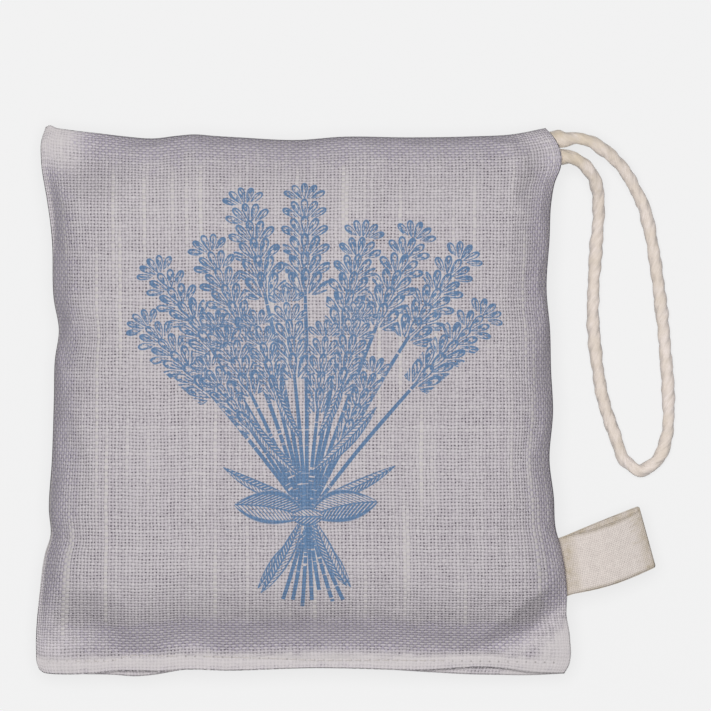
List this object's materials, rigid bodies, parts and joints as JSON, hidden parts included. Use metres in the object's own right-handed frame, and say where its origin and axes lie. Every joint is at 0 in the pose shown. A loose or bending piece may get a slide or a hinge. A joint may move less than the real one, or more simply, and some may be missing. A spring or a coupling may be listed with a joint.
{
  "type": "lavender sachet",
  "caption": "Flat pillow-shaped linen bag filled with dried lavender, with a soft cord loop at a top corner and a folded tape tab in its side seam.",
  "frame": {"origin": "middle of the flat patch of the back panel that the bag lies on", "axes": "+X across the bag to the side with the cord loop, +Y up its height, +Z from the back panel to the front panel"},
  "size_m": [0.1272, 0.1092, 0.0227],
  "materials": {
    "printed_linen": "matte plain weave, printed",
    "plain_linen": "matte plain weave",
    "dried_lavender": "loose dried buds",
    "cotton_cord": "matte, softly twisted",
    "cotton_tape": "matte woven tape",
    "sewing_thread": "matte thread"
  },
  "bodies": {
    "sachet": {"front_panel": "printed_linen", "back_panel": "plain_linen", "lavender_filling": "dried_lavender", "cord_tail_upper": "cotton_cord", "cord_tail_lower": "cotton_cord", "label_tab_sewn_end": "cotton_tape", "seam_needle_thread": "sewing_thread", "seam_bobbin_thread": "sewing_thread", "closing_needle_thread": "sewing_thread", "closing_bobbin_thread": "sewing_thread"},
    "hanging_loop": {"hanging_cord": "cotton_cord"},
    "tab": {"label_tab": "cotton_tape"}
  },
  "joints": [
    {"name": "loop_lift", "type": "hinge", "parent": "sachet", "child": "hanging_loop", "pos_m": [0.05284, 0.0504, 0.00773], "axis": [0, -1, 0], "range_deg": [0, 90]},
    {"name": "tab_bend", "type": "hinge", "parent": "sachet", "child": "tab", "pos_m": [0.05304, -0.033, 0.00893], "axis": [0.1229, -0.9924, 0], "range_deg": [-20, 90], "stiffness_Nm_per_rad": 0.00015}
  ]
}
